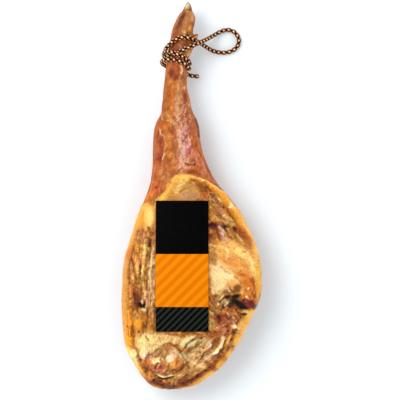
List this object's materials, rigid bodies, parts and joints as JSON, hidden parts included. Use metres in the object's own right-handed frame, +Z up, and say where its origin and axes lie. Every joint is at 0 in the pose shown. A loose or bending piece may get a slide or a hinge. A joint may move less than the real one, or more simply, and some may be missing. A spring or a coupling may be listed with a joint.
{
  "type": "cured ham",
  "caption": "Whole bone-in cured ham with its foot, lying skin side down, with a rope tied round the shank and a plain label card on the meat face.",
  "frame": {"origin": "on the floor under the middle of the ham's own box, rope left out", "axes": "+Y from the butt to the hoof, +Z up out of the meat face, +X to the right seen from above with the hoof at the top"},
  "size_m": [0.278, 0.776, 0.1233],
  "materials": {
    "cured_ham": "satin",
    "rope": "matte",
    "label": "satin"
  },
  "bodies": {
    "root": {"ham": "cured_ham", "rope_turns": "rope", "rope_loop": "rope", "rope_tail": "rope", "label": "label"}
  },
  "joints": []
}
